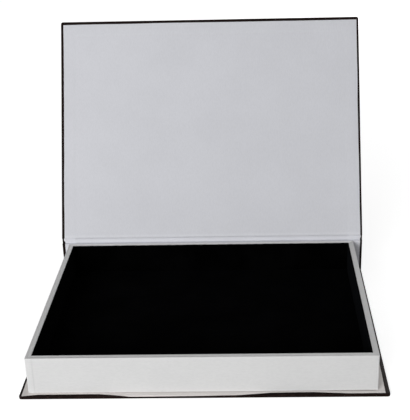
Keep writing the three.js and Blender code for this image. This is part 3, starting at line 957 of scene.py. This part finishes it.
def seenRays(tree):
    # 1 for a camera, a glossy or a transmission ray and 0 for any other: the largest of the three
    path = tree.nodes.new("ShaderNodeLightPath")
    seen = path.outputs["Is Camera Ray"]
    for kind in ("Is Glossy Ray", "Is Transmission Ray"):
        larger = tree.nodes.new("ShaderNodeMath")
        larger.operation = "MAXIMUM"
        tree.links.new(seen, larger.inputs[0])
        tree.links.new(path.outputs[kind], larger.inputs[1])
        seen = larger.outputs[0]
    return seen


def studioMaterial():
    # pale and matt for the light; seen or mirrored, it is a paler mix, so its shadows stay faint
    made = bpy.data.materials.new("studio_floor")
    made.use_nodes = True
    tree = made.node_tree
    tree.nodes.clear()
    output = tree.nodes.new("ShaderNodeOutputMaterial")
    matt = tree.nodes.new("ShaderNodeBsdfDiffuse")
    matt.inputs["Color"].default_value = (*[studio["floorColour"]] * 3, 1)
    seen = tree.nodes.new("ShaderNodeBsdfDiffuse")
    seen.inputs["Color"].default_value = (*[studio["seenColour"]] * 3, 1)
    glow = tree.nodes.new("ShaderNodeEmission")
    coordinates = tree.nodes.new("ShaderNodeTexCoord")
    away = tree.nodes.new("ShaderNodeVectorMath")
    away.operation = "LENGTH"
    tree.links.new(coordinates.outputs["Object"], away.inputs[0])
    tree.links.new(remap(tree, away.outputs["Value"], studio["whiteFrom"], studio["whiteAt"],
                         studio["floorGlow"], 1.0), glow.inputs["Strength"])
    both = tree.nodes.new("ShaderNodeAddShader")
    tree.links.new(seen.outputs[0], both.inputs[0])
    tree.links.new(glow.outputs[0], both.inputs[1])
    pick = tree.nodes.new("ShaderNodeMixShader")
    tree.links.new(seenRays(tree), pick.inputs[0])
    tree.links.new(matt.outputs[0], pick.inputs[1])
    tree.links.new(both.outputs[0], pick.inputs[2])
    tree.links.new(pick.outputs[0], output.inputs["Surface"])
    return made


def studioFloor():
    # a flat disc just under the box: a ring of points and the triangles to its centre
    radius, drop, sides = studio["floorRadius"], studio["floorDrop"], studio["floorSides"]
    turn = np.linspace(0, 2 * math.pi, sides + 1)[:-1]
    ring = place(radius * np.cos(turn), radius * np.sin(turn), -drop)
    mesh = bpy.data.meshes.new("studio_floor")
    corners = [(0, 1 + k, 1 + (k + 1) % sides) for k in range(sides)]
    mesh.from_pydata(np.concatenate([[[0, 0, -drop]], ring]) * mm, [], corners)
    mesh.materials.append(studioMaterial())
    floor = bpy.data.objects.new("studio_floor", mesh)
    bpy.context.scene.collection.objects.link(floor)


def studioWorld():
    # white for the camera and for reflections, a pale grey level for the light
    world = bpy.data.worlds.new("studio")
    bpy.context.scene.world = world
    world.use_nodes = True
    tree = world.node_tree
    tree.nodes.clear()
    output = tree.nodes.new("ShaderNodeOutputWorld")
    light, shown = (tree.nodes.new("ShaderNodeBackground") for _ in range(2))
    light.inputs["Color"].default_value = (1, 1, 1, 1)
    light.inputs["Strength"].default_value = studio["worldLevel"]
    shown.inputs["Color"].default_value = (1, 1, 1, 1)
    shown.inputs["Strength"].default_value = 1.0
    pick = tree.nodes.new("ShaderNodeMixShader")
    tree.links.new(seenRays(tree), pick.inputs[0])
    tree.links.new(light.outputs[0], pick.inputs[1])
    tree.links.new(shown.outputs[0], pick.inputs[2])
    tree.links.new(pick.outputs[0], output.inputs["Surface"])


def softLamp(name, where, width, power):
    # a square area lamp that faces the box
    data = bpy.data.lights.new(name, "AREA")
    data.shape = "SQUARE"
    data.size = width
    data.energy = power
    lamp = bpy.data.objects.new(name, data)
    lamp.location = where
    ahead = Vector(studio["lampAim"]) - Vector(where)
    lamp.rotation_euler = ahead.to_track_quat("-Z", "Y").to_euler()
    bpy.context.scene.collection.objects.link(lamp)


studioFloor()
studioWorld()
for lampName in ("key", "fill", "back"):
    softLamp(lampName + "_lamp", *studio[lampName])
print("studio made")

view = {
    "place": (0.0459, -0.8345, 0.4914),      # metres
    "yaw": -1.817,                           # degrees, from +Y towards +X
    "pitch": 23.462,                         # degrees below level
    "roll": 1.491,
    "focal": 959.9,                          # in pixels of a picture 410 wide and 420 high
    "middle": 225.0,                         # pixel column that the camera points at
    "picture": (410, 420),
}


def standCamera():
    # right, down and forward from yaw and pitch, the first two turned by roll
    yaw, pitch, roll = (math.radians(view[key]) for key in ("yaw", "pitch", "roll"))
    forward = Vector((math.sin(yaw) * math.cos(pitch), math.cos(yaw) * math.cos(pitch),
                      -math.sin(pitch)))
    level = Vector((math.cos(yaw), -math.sin(yaw), 0))
    down = forward.cross(level)
    right = math.cos(roll) * level + math.sin(roll) * down
    down = math.cos(roll) * down - math.sin(roll) * level
    data = bpy.data.cameras.new("camera")
    data.sensor_width = 36.0
    data.lens = view["focal"] / max(view["picture"]) * data.sensor_width
    data.shift_x = (view["picture"][0] / 2 - view["middle"]) / max(view["picture"])
    data.clip_end = 50.0
    camera = bpy.data.objects.new("camera", data)
    turn = Matrix((right, -down, -forward)).transposed().to_4x4()
    camera.matrix_world = Matrix.Translation(view["place"]) @ turn
    bpy.context.scene.collection.objects.link(camera)
    bpy.context.scene.camera = camera


standCamera()
bpy.context.scene.view_settings.view_transform = "Standard"
bpy.context.view_layer.update()
print("camera standing")
